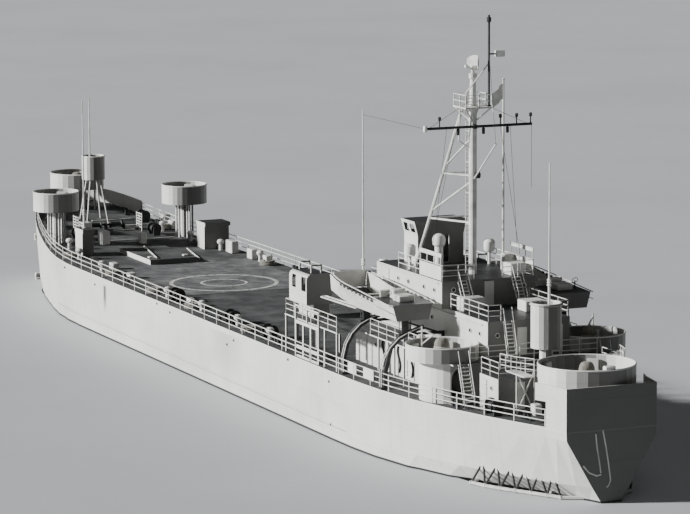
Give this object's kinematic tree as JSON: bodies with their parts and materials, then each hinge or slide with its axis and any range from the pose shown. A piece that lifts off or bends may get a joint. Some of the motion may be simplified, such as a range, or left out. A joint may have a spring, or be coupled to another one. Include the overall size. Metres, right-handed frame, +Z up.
{
  "type": "tank landing ship scale model",
  "caption": "Unarmed tank landing ship, a one-tenth scale model: bow doors and ramp over a hollow tank deck, deck houses aft, tripod mast, boats on davits.",
  "frame": {"origin": "centre of the bounding box, on the plane of the flat keel", "axes": "+X to the bow, +Y to port, +Z up"},
  "size_m": [9.99, 1.54, 3.107],
  "materials": {
    "hull_paint": "weathered light grey ship's paint",
    "house_paint": "satin grey ship's paint",
    "deck_paint": "matt non-slip deck paint",
    "dark_steel": "black paint over steel",
    "boot_paint": "anti-fouling paint",
    "bronze": "cast bronze",
    "boat_paint": "grey boat paint",
    "canvas": "weathered canvas"
  },
  "bodies": {
    "ship": {"hull": "hull_paint", "main_deck": "deck_paint", "bow_bulwark": "hull_paint", "stern_plating": "hull_paint", "propeller_guard_port": "hull_paint", "propeller_guard_stbd": "hull_paint", "deck_house": "house_paint", "boat_deck": "deck_paint", "upper_house": "house_paint", "bridge_house": "house_paint", "conning_house": "house_paint", "control_cabin_port": "house_paint", "control_cabin_stbd": "house_paint", "side_screen_port": "house_paint", "side_screen_stbd": "house_paint", "aft_house": "house_paint", "tub_bow_centre": "house_paint", "tub_bow_port": "house_paint", "tub_bow_stbd": "house_paint", "tub_mid_port": "house_paint", "tub_mid_stbd": "house_paint", "tub_stern": "house_paint", "covered_pedestal_bow_centre": "canvas", "covered_pedestal_bow_port": "canvas", "covered_pedestal_bow_stbd": "canvas", "covered_pedestal_mid_port": "canvas", "covered_pedestal_mid_stbd": "canvas", "covered_pedestal_stern": "canvas", "lookout_bow": "house_paint", "lookout_aft": "house_paint", "vent_trunk_port": "house_paint", "vent_trunk_stbd": "house_paint", "mast_pole": "house_paint", "mast_legs": "house_paint", "mast_platform": "house_paint", "yard": "dark_steel", "topmast": "dark_steel", "radar_pedestal": "house_paint", "davit_port_fore": "dark_steel", "davit_port_aft": "dark_steel", "davit_stbd_fore": "dark_steel", "davit_stbd_aft": "dark_steel", "landing_boat_port": "boat_paint", "landing_boat_stbd": "boat_paint", "guard_rail_port": "house_paint", "guard_rail_stbd": "house_paint", "stern_winch": "dark_steel"},
    "bow_door_port": {"bow_door_port": "hull_paint"},
    "bow_door_stbd": {"bow_door_stbd": "hull_paint"},
    "bow_ramp": {"bow_ramp": "dark_steel"},
    "hatch_cover": {"hatch_cover": "deck_paint"},
    "propeller_port": {"propeller_port": "bronze", "shaft_port": "bronze"},
    "propeller_stbd": {"propeller_stbd": "bronze", "shaft_stbd": "bronze"},
    "rudder_port": {"rudder_port": "boot_paint"},
    "rudder_stbd": {"rudder_stbd": "boot_paint"},
    "radar_antenna": {"radar_antenna": "house_paint"},
    "boat_ramp_port": {"boat_ramp_port": "boat_paint"},
    "boat_ramp_stbd": {"boat_ramp_stbd": "boat_paint"}
  },
  "joints": [
    {"name": "bow_door_port_hinge", "type": "hinge", "parent": "ship", "child": "bow_door_port", "pos_m": [4.533, 0.438, 0.55], "axis": [0, 0, 1], "range_deg": [0, 85]},
    {"name": "bow_door_stbd_hinge", "type": "hinge", "parent": "ship", "child": "bow_door_stbd", "pos_m": [4.533, -0.438, 0.55], "axis": [0, 0, -1], "range_deg": [0, 85]},
    {"name": "bow_ramp_hinge", "type": "hinge", "parent": "ship", "child": "bow_ramp", "pos_m": [4.49, 0, 0.295], "axis": [0, 1, 0], "range_deg": [0, 97]},
    {"name": "hatch_cover_hinge", "type": "hinge", "parent": "ship", "child": "hatch_cover", "pos_m": [3.152, 0, 0.8023], "axis": [0, 1, 0], "range_deg": [0, 100]},
    {"name": "propeller_port_shaft", "type": "hinge", "parent": "ship", "child": "propeller_port", "pos_m": [-4.445, 0.23, 0.115], "axis": [1, 0, 0], "continuous": true},
    {"name": "propeller_stbd_shaft", "type": "hinge", "parent": "ship", "child": "propeller_stbd", "pos_m": [-4.445, -0.23, 0.115], "axis": [1, 0, 0], "continuous": true},
    {"name": "rudder_port_stock", "type": "hinge", "parent": "ship", "child": "rudder_port", "pos_m": [-4.65, 0.23, 0.2], "axis": [0, 0, 1], "range_deg": [-35, 35]},
    {"name": "rudder_stbd_stock", "type": "hinge", "parent": "ship", "child": "rudder_stbd", "pos_m": [-4.65, -0.23, 0.2], "axis": [0, 0, 1], "range_deg": [-35, 35]},
    {"name": "radar_turn", "type": "hinge", "parent": "ship", "child": "radar_antenna", "pos_m": [-3.05, 0, 2.735], "axis": [0, 0, 1], "continuous": true},
    {"name": "boat_ramp_port_hinge", "type": "hinge", "parent": "ship", "child": "boat_ramp_port", "pos_m": [-2.346, 0.56, 1.291], "axis": [0, 1, 0], "range_deg": [0, 95]},
    {"name": "boat_ramp_stbd_hinge", "type": "hinge", "parent": "ship", "child": "boat_ramp_stbd", "pos_m": [-2.346, -0.56, 1.291], "axis": [0, 1, 0], "range_deg": [0, 95]}
  ],
  "couplings": [
    {"joint": "bow_door_stbd_hinge", "follows": "bow_door_port_hinge", "ratio": 1},
    {"joint": "bow_ramp_hinge", "follows": "bow_door_port_hinge", "ratio": 1.14},
    {"joint": "rudder_stbd_stock", "follows": "rudder_port_stock", "ratio": 1}
  ]
}
